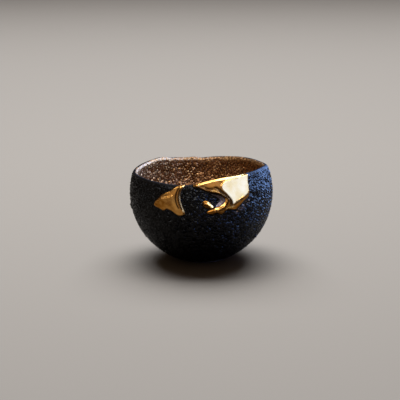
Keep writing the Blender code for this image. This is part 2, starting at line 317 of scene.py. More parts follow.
# %% The whole relief as one function
def carving(places):
    """How far the plates, folds and tear stand out of the plain sphere, or into it."""
    azimuths, latitudes = np.degrees(places / BELLY_RADIUS).T
    lift = np.full(len(places), PLATE_LIFT)
    for half_width, height, crest in CRESTS:
        lift += height * smooth_step(1 - distance_to(places, crest) / half_width)
    facing = np.maximum(outward(azimuths, latitudes) @ FACET_FACING, LEAST_FACING)
    flat = (BELLY_RADIUS + FACET_LIFT) / facing - BELLY_RADIUS
    lift += (flat - lift) * on_facet(places)
    lift *= rounded_edge(plate_depth(places))
    for slope, edge in CHAMFERS:
        lift = np.minimum(lift, slope * distance_to(places, edge) + CHAMFER_FOOT)
    return lift - TEAR_DEPTH * across_edge(places, TEAR_LINE, TEAR_EDGE, TEAR_OUTSIDE)


left_roll = carving(drawn(FOLDS["left roll"][2]))
print("the left roll stands", round(left_roll.max() / MM, 2), "mm out of the wall")

# %% [markdown]
# ## Where the gold is thick, thin or rubbed away, with painted light and shade
#
# Gold that is brushed on by hand is thick and pale in some places and thin and brown in others. It breaks
# in the creases, and a little of it strays onto the black beads. Part of the pale and the brown here is
# painted light and shade: pale lines stand for highlights along the bright edges, and dark lines, dark
# rolls and a darker left tip stand for shade. Painted texture maps could hold this. Lines with a width and
# a strength do it in a few numbers and stay sharp at any size, and each point of the mesh then carries
# its share.

# %% Lines of thick gold and painted highlight, of worn gold and painted shade, and of gold dust
# Pale lines: partly thick gold, partly painted highlight along bright edges, ridges and the left plate's
# upper field.
# Each line: half its width, its share and its points.
THICK_GOLD_AND_HIGHLIGHTS = (
    (1.6, 1.0, ((-6.4, 45.8), (8, 47.2), (20, 48.2), (41, 48.8))),
    (1.2, 0.6, ((3.0, 44.6), (8.0, 45.2), (13.5, 45.2), (16.5, 44.0))),
    (0.55, 1.0, ((19.6, 38.0), (18.6, 36.6), (17.0, 35.2), (14.4, 33.9), (11.4, 33.5))),
    (0.35, 1.0, ((5.0, 36.5), (6.8, 35.6), (8.8, 34.5))),
    (0.5, 0.4, ((-37.0, 36.2), (-30.8, 37.8), (-26.9, 38.2), (-23.8, 38.9), (-22.3, 39.9))),
    (2.4, 0.85, ((-31.0, 39.8), (-25.2, 41.0), (-21.0, 42.6))),
    (0.9, 0.6, ((-21.6, 41.2), (-22.2, 38.6), (-21.4, 35.6), (-19.4, 33.2))),
    (0.3, 0.9, ((-13.4, 44.5), (-16.3, 43.4), (-18.9, 42.3), (-20.4, 40.6), (-20.8, 38.6), (-20.2, 36.1))),
)
# Dark lines: partly gold worn off in the creases, partly painted shade on the rolls, grooves, hook and leaf.
BARE_AND_SHADED_LINES = (
    (0.7, 0.9, (
        (-1.6, 44.0), (2.2, 43.6), (4.6, 42.9), (6.9, 42.7), (9.7, 42.8), (12.0, 42.6), (14.4, 41.6),
    )),
    (1.0, 0.9, (
        (11.5, 43.2), (13.6, 42.4), (15.6, 41.4), (18.4, 40.0), (21.4, 38.2), (23.0, 36.6), (23.4, 35.4),
    )),
    (0.7, 0.8, ((-1.4, 43.2), (3.0, 42.1), (7.0, 41.6), (11.6, 41.0), (15.6, 40.0), (18.6, 38.6))),
    (0.5, 0.85, ((9.6, 32.8), (12.5, 32.8), (15.7, 33.1), (18.2, 34.1), (19.7, 35.6), (20.8, 37.2))),
    (0.35, 0.8, ((11.4, 32.8), (11.8, 31.0))),
    (0.35, 0.8, ((17.5, 33.3), (18.9, 31.2))),
    (0.6, 0.7, ((29.0, 33.2), (33.0, 34.8), (37.0, 36.7), (40.6, 38.2))),
    (0.5, 0.35, ((-35.6, 37.4), (-30.9, 38.7), (-28.3, 39.2))),
    (0.6, 0.4, ((-31.4, 40.0), (-29.2, 40.5))),
    (0.4, 0.6, ((4.9, 32.5), (7.4, 32.9), (9.4, 33.4))),
    (0.8, 0.85, ((1.6, 36.2), (3.6, 35.4), (5.8, 34.0))),
    (1.0, 0.35, ((5.5, 31.7), (9.0, 31.9), (14.6, 31.5), (17.5, 32.2))),
    (0.5, 0.8, ((39.0, 39.2), (33.4, 37.5), (28.4, 35.9), (25.8, 34.8))),
    (0.42, 0.95, ((-17.6, 43.2), (-18.9, 42.0), (-20.2, 39.0), (-19.2, 35.7), (-17.5, 33.7))),
    (0.5, 0.6, ((-15.6, 42.6), (-16.2, 40.8), (-16.2, 38.4), (-15.7, 36.8))),
    (0.36, 0.95, ((-16.6, 42.6), (-17.1, 41.8), (-17.6, 38.5), (-16.7, 35.8), (-15.0, 33.2))),
)  # fmt: skip
GOLD_DUST = ((1.5, 0.8, ((28.6, 31.8), (32.0, 33.0), (35.4, 34.5), (38.2, 36.0))),)
print(len(THICK_GOLD_AND_HIGHLIGHTS), "thick lines and", len(BARE_AND_SHADED_LINES), "bare ones")

# %% Their shares at any place
LINE_END = 1.5  # in half-widths from the line
LEFT_SIDE = -10  # azimuth up to which the gold is the left plate's
# The left plate's gold darkens from its upper right towards its lower-left tip: painted shade.
LEFT_TIP = -39.8
TIP_LENGTH = 22
TIP_THINNESS_AND_SHADE = 1.05
TIP_FADE = 0.5
RIGHT_THINNESS = 0.9


def line_share(places, lines):
    """The strongest line's share at each place: half of it at the half-width, and 0 at the line's end."""
    share = np.zeros(len(places))
    for half_width, most, points in lines:
        away = distance_to(places, drawn(points)) / (half_width * MM)
        share = np.maximum(share, most * smooth_step(LINE_END - away))
    return share


def thinness(places):
    """How thin the gold lies, with painted light and shade: thinnest and darkest towards the left tip, thick
    and pale on the facet and along the painted highlight lines.
    """
    turned = np.degrees(places[:, 0] / BELLY_RADIUS)
    left = TIP_THINNESS_AND_SHADE - TIP_FADE * smooth_step((turned - LEFT_TIP) / TIP_LENGTH)
    thick = np.maximum(line_share(places, THICK_GOLD_AND_HIGHLIGHTS), on_facet(places))
    return np.where(turned < LEFT_SIDE, left, RIGHT_THINNESS) * (1 - thick)


print("the gold on the left plate is", round(thinness(drawn(LEFT_PLATE)).mean(), 2), "thin on average")

# %% [markdown]
# ## Where every point of the surface goes
#
# A place on the cup is its azimuth and its way up: how far along the section it lies, measured from the
# belly's widest line, up the outer wall, over the lip and down the inside. One function turns such places
# into points and outward directions. Beads and gold are then laid on the surface without caring how it
# curves. The foot is low and turned, so a short profile of radii and heights is enough for it.

# %% The foot's section
FOOT_RADIUS = 12.8 * MM
FOOT_RING = 3.0 * MM
FOOT_EDGE = 0.3 * MM
FOOT_HOLLOW = 1.6 * MM
FOOT_LATITUDE = -math.degrees(math.acos(FOOT_RADIUS / BELLY_RADIUS))
RING_INSIDE = FOOT_RADIUS - FOOT_RING
FOOT_SECTION = np.array([
    (FOOT_RADIUS, BELLY_HEIGHT - math.sqrt(BELLY_RADIUS**2 - FOOT_RADIUS**2)),
    (FOOT_RADIUS, FOOT_EDGE),
    (FOOT_RADIUS - FOOT_EDGE, 0),
    (RING_INSIDE, 0),
    (RING_INSIDE - FOOT_EDGE, FOOT_EDGE),
    (RING_INSIDE - 2 * FOOT_EDGE, FOOT_HOLLOW - FOOT_EDGE),
    (RING_INSIDE / 2, FOOT_HOLLOW),
    (0, FOOT_HOLLOW),
])  # fmt: skip
FOOT_STEPS = np.linalg.norm(np.diff(FOOT_SECTION, axis=0), axis=1)
FOOT_REACHED = np.concatenate([[0], np.cumsum(FOOT_STEPS)])
FOOT_TOP = BELLY_RADIUS * math.radians(FOOT_LATITUDE)


def foot_section(below):
    """Radius and height at a distance below the place where the wall leaves the foot."""
    return [np.interp(below, FOOT_REACHED, values) for values in FOOT_SECTION.T]


print("the foot is", round(2 * FOOT_RADIUS / MM, 1), "mm across, and its section",
      round(FOOT_REACHED[-1] / MM, 1), "mm long")  # fmt: skip

# %% Ways on the wall
CARVED_SIDE = 50  # no plate reaches further round, in degrees
CARVED_BOTTOM = BELLY_RADIUS * math.radians(-15)


def lip_start(azimuths):
    """Way at the start of the lip's round."""
    return BELLY_RADIUS * np.radians(lip_latitude(azimuths))


def way_inside(azimuths, latitudes):
    """Way of places on the inner wall, given their angle above its widest line."""
    return lip_start(azimuths) + LIP_LENGTH + INNER_RADIUS * np.radians(lip_latitude(azimuths) - latitudes)


def unrolled(azimuths, ways):
    """Places on the chart, which goes on over the lip."""
    return np.stack([BELLY_RADIUS * np.radians(azimuths), ways], axis=-1)


def in_front(azimuths, ways):
    """Whether places can lie on the relief at all. The others needn't be measured against it."""
    return (np.abs(azimuths) < CARVED_SIDE) & (ways > CARVED_BOTTOM)


print("the way up to the lip is", round(lip_start(0.0) / MM, 1), "mm at the front")


# %% From places to points
def surface(azimuths, ways):
    """Points of the surface and its outward directions."""
    past = ways - lip_start(azimuths)
    lip = lip_latitude(azimuths)
    turn = np.pi * np.clip(past / LIP_LENGTH, 0, 1)
    inside = np.maximum(past - LIP_LENGTH, 0)
    latitudes = np.where(past < 0, np.degrees(ways / BELLY_RADIUS), lip - np.degrees(inside / INNER_RADIUS))
    facing = outward(azimuths, latitudes)
    rising = outward(azimuths, latitudes + 90)
    carved = in_front(azimuths, ways) & (past < LIP_LENGTH)
    lift = np.zeros(len(azimuths))
    lift[carved] = carving(unrolled(azimuths, ways)[carved])
    out = BELLY_RADIUS - WALL / 2 * (1 - np.cos(turn)) + unevenness(azimuths, latitudes)
    out += lift * np.maximum(np.cos(turn), 0)
    points = out[:, None] * facing + (LIP_RISE * np.sin(turn))[:, None] * rising
    normals = np.cos(turn)[:, None] * facing + np.sin(turn)[:, None] * rising
    # Below its widest line the inside is pressed flatter, which leaves a thicker floor.
    squash = (BELLY_HEIGHT - FLOOR_TOP) / INNER_RADIUS
    low = (inside > 0) & (points[:, 2] < 0)
    points[low, 2] *= squash
    normals[low, 2] /= squash
    points[:, 2] += BELLY_HEIGHT
    # The foot is turned, so its places come from its section.
    foot = ways < FOOT_TOP
    radius, height = foot_section(FOOT_TOP - ways[foot])
    points[foot] = radius[:, None] * outward(azimuths[foot], 0)
    points[foot, 2] = height
    return points, normals / np.linalg.norm(normals, axis=1)[:, None]


belly_front = surface(np.zeros(1), np.zeros(1))[0][0]
print("the wall's front stands", round(-belly_front[1] / MM, 2), "mm from the axis")

# %% [markdown]
# ## Laying out the beads and the gold
#
# Beads that touch without a pattern are hard to lay by hand. A sunflower spiral, where each seed turns by
# the golden angle, covers a round surface evenly with no rows, and a little jitter hides the spiral. The
# gold takes a fine honeycomb of points, so that it bends smoothly. All points, or sites, are kept in one
# table. Instances or particles would be shorter to write, but they aren't one surface, and an exported
# model loses them.

# %% Site tables
BLACK, GOLD, LINING, CLAY, SHADED_LUSTRE = range(5)
BEAD_PITCH = 1.3 * MM
LINING_PITCH = 1.6 * MM
GOLD_PITCH = 0.24 * MM


def table(azimuths, ways, finish, pitch=0.0):
    """Sites of one kind. pitch is the width of a bead there, or 0 where the surface is smooth."""
    columns = {"azimuth": azimuths, "way": ways, "finish": finish, "pitch": pitch}
    return {key: values + np.zeros(len(azimuths)) for key, values in columns.items()}


def joined(*tables):
    return {key: np.concatenate([part[key] for part in tables]) for key in tables[0]}


def kept(sites, chosen):
    return {key: values[chosen] for key, values in sites.items()}


print("beads", round(BEAD_PITCH / MM, 1), "mm apart outside and", round(LINING_PITCH / MM, 1), "mm inside")

# %% A sunflower spiral, and where the coats end on the lip
GOLDEN_ANGLE = 180 * (3 - math.sqrt(5))
JITTER = 0.2  # as a share of the pitch
LINING_LIMIT = 0.5  # as a share of the way over the lip
GOLD_LIMIT = 0.5
BRUSH_WAVES = ((9, 40, 0.05), (23, 0, 0.04))
rng = np.random.default_rng(7)


def spiral(low, high, pitch, radius):
    """Azimuths and latitudes spread evenly over a zone of a sphere, in degrees."""
    bottom, top = np.sin(np.radians([low, high]))
    count = int(2 * np.pi * radius**2 * (top - bottom) / (math.sqrt(3) / 2 * pitch**2))
    heights = bottom + (top - bottom) * (np.arange(count) + 0.5) / count
    latitudes = np.degrees(np.arcsin(heights))
    azimuths = GOLDEN_ANGLE * np.arange(count)
    jitter = rng.uniform(-JITTER, JITTER, (2, count)) * np.degrees(pitch / radius)
    return within_half_turn(azimuths + jitter[0] / np.cos(np.radians(latitudes))), latitudes + jitter[1]


def lining_edge(azimuths):
    """Way at which the lining starts, wandering a little as a brush does."""
    return lip_start(azimuths) + LIP_LENGTH * (LINING_LIMIT + waves_round(azimuths, BRUSH_WAVES))


def gold_edge(azimuths):
    """Way up to which the gold runs over the lip."""
    return lip_start(azimuths) + LIP_LENGTH * GOLD_LIMIT


edge_wander = np.ptp(waves_round(np.arange(360), BRUSH_WAVES))
print("the lining's edge wanders over", round(edge_wander, 2), "of the lip")

# %% [markdown]
# ### The beads of the two glazes
#
# The black glaze crawls into fine beads as it is fired, and the bronze one into larger ones. They cover
# the whole wall but stop short of the gold, of the tear's smooth inner wall and of the lip, so the spiral
# is laid over everything first, and what lies on those places is then left out.

# %% Black beads outside
FOOT_MARGIN = 1.5  # in degrees above the foot
SPIRAL_TOP = 24  # in degrees, above the wall's end everywhere
LIP_GAP = 0.1 * MM
GOLD_GAP = 0.5 * BEAD_PITCH
CRESCENT_GAP = 0.3 * BEAD_PITCH
azimuths, latitudes = spiral(FOOT_LATITUDE + FOOT_MARGIN, SPIRAL_TOP, BEAD_PITCH, BELLY_RADIUS)
black_beads = table(azimuths, BELLY_RADIUS * np.radians(latitudes), BLACK, BEAD_PITCH)
black_beads = kept(black_beads, black_beads["way"] < lip_start(azimuths) - LIP_GAP)
places = unrolled(black_beads["azimuth"], black_beads["way"])
near = in_front(black_beads["azimuth"], black_beads["way"])
on_gold = np.zeros(len(places), bool)
on_gold[near] = plate_depth(places[near]) > -GOLD_GAP
on_crescent = depth_inside(places, CRESCENT_LINE) > -CRESCENT_GAP
black_beads = kept(black_beads, ~(on_gold | on_crescent))
print(len(black_beads["way"]), "black beads")

# %% Bronze beads inside
SPIRAL_BOTTOM = -89  # in degrees, just short of the floor's middle
SMOOTH_BAND = 0.7 * MM
BAND_GAP = 0.2 * MM
FLOOR_MIDDLE = 1.4 * MM  # left free of the spiral's beads
azimuths, latitudes = spiral(SPIRAL_BOTTOM, SPIRAL_TOP, LINING_PITCH, INNER_RADIUS)
inner_ways = way_inside(azimuths, latitudes)
bronze_beads = table(azimuths, inner_ways, LINING, LINING_PITCH)
past_band = inner_ways - lip_start(azimuths) - LIP_LENGTH - SMOOTH_BAND
before_middle = latitudes > -90 + np.degrees(FLOOR_MIDDLE / INNER_RADIUS)
bronze_beads = kept(bronze_beads, (past_band > BAND_GAP) & before_middle)
print(len(bronze_beads["way"]), "bronze beads")

# %% [markdown]
# ### The points under the gold
#
# The gold is a smooth, thick skin with a crisp edge. A grid alone would give that edge teeth. So points
# are also set along the outline itself and along two lines just inside it, where the skin turns down to
# the black ground, and the honeycomb fills the rest.

# %% Lines and grids on the chart
OUTLINE_STEP = 0.24 * MM
EDGE_LINES = (0, 0.18 * MM, 0.38 * MM)
NUDGE = 0.05 * MM  # a small step aside, to find out which side is inside


def evenly_spaced(line, step):
    """Points at even steps along a closed line."""
    ends = np.roll(line, -1, axis=0)
    lengths = np.linalg.norm(ends - line, axis=1)
    reached = np.concatenate([[0], np.cumsum(lengths)])
    wanted = np.linspace(0, reached[-1], int(reached[-1] / step) + 1)[:-1]
    closed = np.vstack([line, line[:1]])
    return np.stack([np.interp(wanted, reached, closed[:, axis]) for axis in (0, 1)], axis=-1)


def honeycomb(low, high, pitch):
    """A hexagonal grid of places between two corners."""
    rows = np.arange(low[1], high[1], pitch * math.sqrt(3) / 2)
    columns = np.arange(low[0], high[0], pitch)
    return np.array([(x + pitch / 2 * (i % 2), y) for i, y in enumerate(rows) for x in columns])


def inset(line, depth):
    """A closed line moved inward by a depth."""
    along = np.roll(line, -1, axis=0) - np.roll(line, 1, axis=0)
    across = np.stack([-along[:, 1], along[:, 0]], axis=-1) / np.linalg.norm(along, axis=1)[:, None]
    probe = depth_inside((line + NUDGE * across)[:1], line)[0]
    return line + math.copysign(depth, probe) * across


leaf_line = evenly_spaced(inset(PLATES[2], EDGE_LINES[1]), OUTLINE_STEP)
print("a line inside the leaf has", len(leaf_line), "points")

# %% Gold on the plates, and the tear's inner wall
LINE_SLACK = 0.04 * MM  # what a line may miss its depth by before it is dropped
GRID_GAP = 0.7 * GOLD_PITCH
CRESCENT_GRID_GAP = 0.6 * GOLD_PITCH
PLATE_GAP = 0.15 * MM


def smooth_sites(places, finish):
    """Sites without beads at places on the chart."""
    return table(np.degrees(places[:, 0] / BELLY_RADIUS), places[:, 1], finish)


def plate_places(outline):
    """Places on one plate: the outline, two lines just inside it, and a honeycomb."""
    found = []
    for depth in EDGE_LINES:
        line = evenly_spaced(inset(outline, depth), OUTLINE_STEP)
        found.append(line[depth_inside(line, outline) > depth - LINE_SLACK])
    grid = honeycomb(outline.min(0), outline.max(0), GOLD_PITCH)
    found.append(grid[depth_inside(grid, outline) > EDGE_LINES[-1] + GRID_GAP])
    return np.vstack(found)


def gold_sites():
    """The plates, up to where the gold ends on the lip."""
    sites = smooth_sites(np.vstack([plate_places(outline) for outline in PLATES]), GOLD)
    return kept(sites, sites["way"] < gold_edge(sites["azimuth"]) - LIP_GAP)


def crescent_sites():
    """The smooth inner wall of the tear, where it isn't under a plate."""
    grid = honeycomb(CRESCENT_LINE.min(0), CRESCENT_LINE.max(0), GOLD_PITCH)
    grid = grid[depth_inside(grid, CRESCENT_LINE) > CRESCENT_GRID_GAP]
    places = np.vstack([evenly_spaced(CRESCENT_LINE, OUTLINE_STEP), grid])
    return smooth_sites(places[plate_depth(places) < -PLATE_GAP], SHADED_LUSTRE)


gold = joined(gold_sites(), crescent_sites())
print(len(gold["way"]), "gilded sites")

# %% [markdown]
# ### The lip and the foot
#
# The lip is a round, smooth edge where the black glaze meets the bronze one, and the foot is turned on a
# wheel. Both follow the cup round, so they take rings of points. On the lip every other ring is turned by
# half a step, which keeps the triangles even.

# %% Lip and smooth band: rings of points
RING_COUNT = 280
LIP_RINGS = (
    (0.55 * MM, BLACK),
    (1.2 * MM, BLACK),
    (2.75 * MM, LINING),
    (3.4 * MM, LINING),
    (LIP_LENGTH - LIP_GAP, LINING),
    (LIP_LENGTH + SMOOTH_BAND, LINING),
)
GOLD_END = 0.05 * MM  # this far past the gold, a ring needn't keep clear of the plates
RING_GAP = 0.2 * MM


def evenly_round(count):
    """Azimuths at even steps all round."""
    return within_half_turn(np.arange(count) * 360 / count)


def rings():
    """The lining's edge, and rings over the lip and down the smooth band, every other one turned."""
    azimuths = evenly_round(RING_COUNT)
    found = [table(azimuths, lining_edge(azimuths), LINING)]
    for i, (past, finish) in enumerate(LIP_RINGS):
        turned = within_half_turn(azimuths + 180 / RING_COUNT * (i % 2))
        found.append(table(turned, lip_start(turned) + past, finish))
    return joined(*found)


lip_rings = rings()
past_gold = lip_rings["way"] > gold_edge(lip_rings["azimuth"]) + GOLD_END
beside_gold = plate_depth(unrolled(lip_rings["azimuth"], lip_rings["way"])) < -RING_GAP
lip_rings = kept(lip_rings, past_gold | beside_gold)
print(len(lip_rings["way"]), "sites on the lip")

# %% Foot and floor: rings of points to the middle of each
FOOT_RING_COUNT = 72
CLAY_RINGS = (1, 2, 3, 4)
JUST_BELOW = 1e-9  # so that the first ring counts as the foot's
FLOOR_RING_COUNT = 12
FLOOR_RING = 0.9 * MM


def foot_rings():
    """Rings down the foot and under it, of clay on the ring that the cup stands on."""
    azimuths = evenly_round(FOOT_RING_COUNT)
    found = []
    for i, below in enumerate(FOOT_REACHED[:-1]):
        finish = CLAY if i in CLAY_RINGS else BLACK
        found.append(table(azimuths, FOOT_TOP - below - JUST_BELOW, finish))
    found.append(table(np.zeros(1), FOOT_TOP - FOOT_REACHED[-1], BLACK))
    return joined(*found)


def floor_ring():
    """The last ring of points, round the middle of the floor inside."""
    azimuths = evenly_round(FLOOR_RING_COUNT)
    return table(azimuths, way_inside(azimuths, -90) - FLOOR_RING, LINING)


sites = joined(black_beads, bronze_beads, gold, lip_rings, foot_rings(), floor_ring())
print(len(sites["way"]), "sites in all")

# %% [markdown]
# ## From sites to one closed mesh
#
# Triangles that are as even as possible come from Delaunay's rule, which works on a plane. The whole
# surface is therefore unrolled onto a disc, with the underside's middle at its centre and the floor
# inside at its rim. The disc grows by the same factor in all directions, so angles stay true. Joining
# rings by hand, or a voxel remesh, would either leave rows in the glaze or melt its detail.

# %% The disc
MEAN_LIP = float(lip_latitude(np.arange(360.0)).mean())
LAST_SHARE = 0.9999  # the floor's very middle would lie infinitely far out
FOOT_SAMPLES = 2000
LEAST_RADIUS = 0.01 * MM


def spread(latitudes):
    """Natural logarithm of how much wider a true-angled map is here than at the sphere's widest line."""
    return np.arctanh(np.sin(np.radians(latitudes)))


def foot_shrink(below):
    """Natural logarithm of how much narrower the disc gets from the foot's top to a distance below it."""
    fine = np.linspace(0, FOOT_REACHED[-1], FOOT_SAMPLES)
    radii = np.maximum(foot_section(fine)[0], LEAST_RADIUS)
    shrink = np.concatenate([[0], np.cumsum(np.diff(fine) / radii[1:])])
    return np.interp(below, fine, shrink)


def disc(azimuths, ways):
    """Where places lie on the disc."""
    lip = lip_latitude(azimuths)
    start = lip_start(azimuths)
    share = np.clip((ways - FOOT_TOP) / (start - FOOT_TOP), 0, 1)
    outer = spread(FOOT_LATITUDE + share * (MEAN_LIP - FOOT_LATITUDE)) - spread(FOOT_LATITUDE)
    over = np.clip(ways - start, 0, LIP_LENGTH) / (BELLY_RADIUS * math.cos(math.radians(MEAN_LIP)))
    inner_share = np.maximum(ways - start - LIP_LENGTH, 0) / (INNER_RADIUS * np.radians(lip + 90))
    inner = spread(MEAN_LIP) - spread(MEAN_LIP - np.minimum(inner_share, LAST_SHARE) * (MEAN_LIP + 90))
    below = np.maximum(FOOT_TOP - ways, 0)
    radius = np.exp(outer + over + inner - foot_shrink(below)) * (below < FOOT_REACHED[-1])
    turn = np.radians(azimuths)
    return np.stack([radius * np.sin(turn), -radius * np.cos(turn)], axis=-1)


print("the lip lies", round(MEAN_LIP, 1), "degrees above the widest line on average")

# %% Triangles between the sites
SAME_PLACE = 1e-7  # how close two sites may lie on the disc


def triangles_between(sites):
    """Delaunay triangles, as three site numbers each, turned round because the disc is seen from below."""
    flat = [Vector(place) for place in disc(sites["azimuth"], sites["way"])]
    _, _, faces, origins, _, _ = geometry.delaunay_2d_cdt(flat, [], [], 0, SAME_PLACE)
    # Its points come in an order of their own, and origins says which sites they were.
    first = np.array([origin[0] for origin in origins])
    return first[np.array(faces)][:, ::-1]


def close_floor(sites, triangles):
    """Adds a bead in the middle of the floor and the triangles that join it to the last ring."""
    sites = joined(sites, table(np.zeros(1), way_inside(0.0, -90), LINING, LINING_PITCH))
    edges = {(row[i], row[(i + 1) % 3]) for row in triangles.tolist() for i in range(3)}
    rim = [(start, end) for start, end in edges if (end, start) not in edges]
    fan = [(end, start, len(sites["way"]) - 1) for start, end in rim]
    return sites, np.vstack([triangles, fan])


sites, triangles = close_floor(sites, triangles_between(sites))
print(len(triangles), "triangles between sites")

# %% [markdown]
# ## Beads
#
# A real bead is a low dome with a narrow valley round it. A bump in the material would darken and lighten
# the wall as beads do, but the outline would stay as smooth as an egg. Here each bead is a small hill: a
# peak over its site, and one foot point in each triangle round it, sunk a little below the wall. A few
# lumps of glaze stand out further, as drops that dried on the way down.

# %% Lumps of glaze
STRAY_BEADS = (
    (-88, 26.8), (-88, 11.0), (-93, 18.0), (150, 22.0),
    (62, 14.0), (-35, 16.0), (20, 9.0), (-140, 30.0),
)  # fmt: skip
STRAY_HEIGHT = 1.0 * MM
STRAY_WIDTH = 1.25 * MM


def stray_rise(sites):
    """How far the glaze stands out at the few lumps in it."""
    places = unrolled(sites["azimuth"], sites["way"])
    rise = np.zeros(len(places))
    for azimuth, height in STRAY_BEADS:
        latitude = latitude_of(height * MM)
        away = places - chart(azimuth, latitude)
        away[:, 0] *= math.cos(math.radians(latitude))
        rise += STRAY_HEIGHT * np.exp(-((np.linalg.norm(away, axis=1) / STRAY_WIDTH) ** 2))
    return rise * (sites["finish"] == BLACK)


print(len(STRAY_BEADS), "lumps, the highest", round(stray_rise(sites).max() / MM, 1), "mm")

# %% Peaks, and the foot points round them
BEAD_HEIGHT = {BLACK: 0.27 * MM, LINING: 0.38 * MM}
BEAD_VALLEY = {BLACK: 0.08 * MM, LINING: 0.12 * MM}
BEAD_SIZES = (0.6, 1.2)  # least and most share of the height
BEAD_REACH = (0.55, 0.8)  # least and most share of the way to a triangle's middle
BEAD_LEAN = 0.05  # as a share of the pitch


def bead_shapes(sites):
    """Each site's height, valley depth, reach towards its neighbours, and lean."""
    height, valley = np.zeros((2, len(sites["way"])))
    for finish in BEAD_HEIGHT:
        chosen = (sites["pitch"] > 0) & (sites["finish"] == finish)
        height[chosen] = BEAD_HEIGHT[finish] * rng.uniform(*BEAD_SIZES, chosen.sum())
        valley[chosen] = BEAD_VALLEY[finish]
    reach = rng.uniform(*BEAD_REACH, len(height))
    lean = rng.normal(0, BEAD_LEAN, (len(height), 3)) * sites["pitch"][:, None]
    return height, valley, reach, lean


def bead_points(sites, triangles):
    """All points, and the three that each triangle shrinks to. A smooth site's own point serves there."""
    base, normals = surface(sites["azimuth"], sites["way"])
    base += stray_rise(sites)[:, None] * normals
    height, valley, reach, lean = bead_shapes(sites)
    peaks = base + height[:, None] * normals + lean
    middles = base[triangles].mean(1)
    feet = base[triangles] + reach[triangles][..., None] * (middles[:, None] - base[triangles])
    feet -= (valley[:, None] * normals)[triangles]
    # Each foot point takes the next free number, in the order in which they are stacked below.
    on_bead = sites["pitch"][triangles] > 0
    numbers = np.where(on_bead, len(base) + np.cumsum(on_bead).reshape(on_bead.shape) - 1, triangles)
    return np.vstack([peaks, feet[on_bead]]), numbers


points, numbers = bead_points(sites, triangles)
print(len(points), "points")


# %% Faces up the beads and across the valleys
def side_faces(sites, triangles, numbers):
    """Faces that fill the gap along each side that two triangles share, with their finishes.

    Near points are those of the triangle itself, and far ones those of the triangle across the side.
    """
    sides = {}
    for row, corner in np.ndindex(triangles.shape):
        after = (corner + 1) % 3
        sides[triangles[row, corner], triangles[row, after]] = (numbers[row, corner], numbers[row, after])
    is_bead = sites["pitch"] > 0
    faces, finishes = [], []
    for (start, end), (near_start, near_end) in sides.items():
        if (end, start) not in sides:
            continue
        far_end, far_start = sides[end, start]
        if is_bead[start]:
            faces.append((start, far_start, near_start))
            finishes.append(sites["finish"][start])
        if start < end:
            valley_finish = sites["finish"][start if is_bead[start] else end]
            if far_end != near_end:
                faces.append((far_start, far_end, near_end))
                finishes.append(valley_finish)
            if far_start != near_start:
                faces.append((far_start, near_end, near_start))
                finishes.append(valley_finish)
    return np.array(faces), np.array(finishes, int)


sides, side_finishes = side_faces(sites, triangles, numbers)
faces = np.vstack([numbers, sides])
print(len(faces), "faces")


# %% The finish of each face
def finish_of(sites, triangles):
    """Finish of the face in the middle of each triangle: a bead's own, or else what the place says."""
    found = sites["finish"][triangles].min(1)
    azimuths = sites["azimuth"][triangles]
    azimuths = (azimuths[:, :1] + within_half_turn(azimuths - azimuths[:, :1])).mean(1)
    places = unrolled(azimuths, sites["way"][triangles].mean(1))
    smooth = (sites["pitch"][triangles] == 0).all(1)
    front = np.flatnonzero(smooth & in_front(azimuths, places[:, 1]))
    found[front] = BLACK
    found[smooth & (places[:, 1] > lining_edge(azimuths))] = LINING
    front = front[places[front, 1] < gold_edge(azimuths[front])]
    found[front[depth_inside(places[front], CRESCENT_LINE) > 0]] = SHADED_LUSTRE
    found[front[plate_depth(places[front]) > 0]] = GOLD
    bead_finish = np.where(sites["pitch"][triangles] > 0, sites["finish"][triangles], -1).max(1)
    return np.where(smooth, found, bead_finish)


finishes = np.concatenate([finish_of(sites, triangles), side_finishes])
for finish, name in enumerate(("black", "gold", "lining", "clay", "lustre")):
    print(int((finishes == finish).sum()), "faces of", name)

# %% What each point tells the materials
SMOOTH_SHARE = 0.6  # smooth glaze, between a valley's 0 and a bead top's 1


def measures_of(sites, count):
    """Numbers for every point, by name. The foot points, after the sites, are all 0."""
    places = unrolled(sites["azimuth"], sites["way"])
    gilded = sites["finish"] == GOLD
    thin, bare = np.zeros((2, len(places)))
    thin[gilded] = thinness(places[gilded])
    bare[gilded] = line_share(places[gilded], BARE_AND_SHADED_LINES)
    found = {
        "bead": np.where(sites["pitch"] > 0, 1.0, SMOOTH_SHARE),
        "lip": (sites["pitch"] == 0) * 1.0,
        "thin": thin,
        "bare": bare,
        "dust": line_share(places, GOLD_DUST) * (sites["finish"] == BLACK),
    }
    return {name: np.concatenate([values, np.zeros(count - len(places))]) for name, values in found.items()}


measures = measures_of(sites, len(points))
print("each point carries", ", ".join(measures))

# %% [markdown]
# ## One object in place of the solid
#
# All coatings sit on one fired piece of clay, so they are one mesh with a material for each finish. The
# mesh rides on the only body, and the solid that it stands for is hidden.


# %% The object
def placed(name, data):
    """A new object, put in the scene."""
    thing = bpy.data.objects.new(name, data)
    bpy.context.scene.collection.objects.link(thing)
    return thing


def make_cup(points, faces, finishes, measures):
    """The cup's mesh, with each face's finish and each point's measures."""
    mesh = bpy.data.meshes.new("cup_body")
    mesh.from_pydata(points.tolist(), [], faces.tolist())
    for name, values in measures.items():
        mesh.attributes.new(name, "FLOAT", "POINT").data.foreach_set("value", values)
    mesh.polygons.foreach_set("material_index", finishes.astype(np.int32))
    mesh.shade_smooth()
    mesh.validate()
    return placed("cup_body", mesh)


cup = make_cup(points, faces, finishes, measures)
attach(cup, "root")
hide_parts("cup")
print("cup_body has", len(cup.data.polygons), "faces")

# %% [markdown]
# ## Finishes
#
# A finish is a small graph of nodes. Written as plain sums and products it stays readable, so one class
# stands for a socket and turns each operator into a Math node, and another holds a material and adds any
# other kind of node to it.


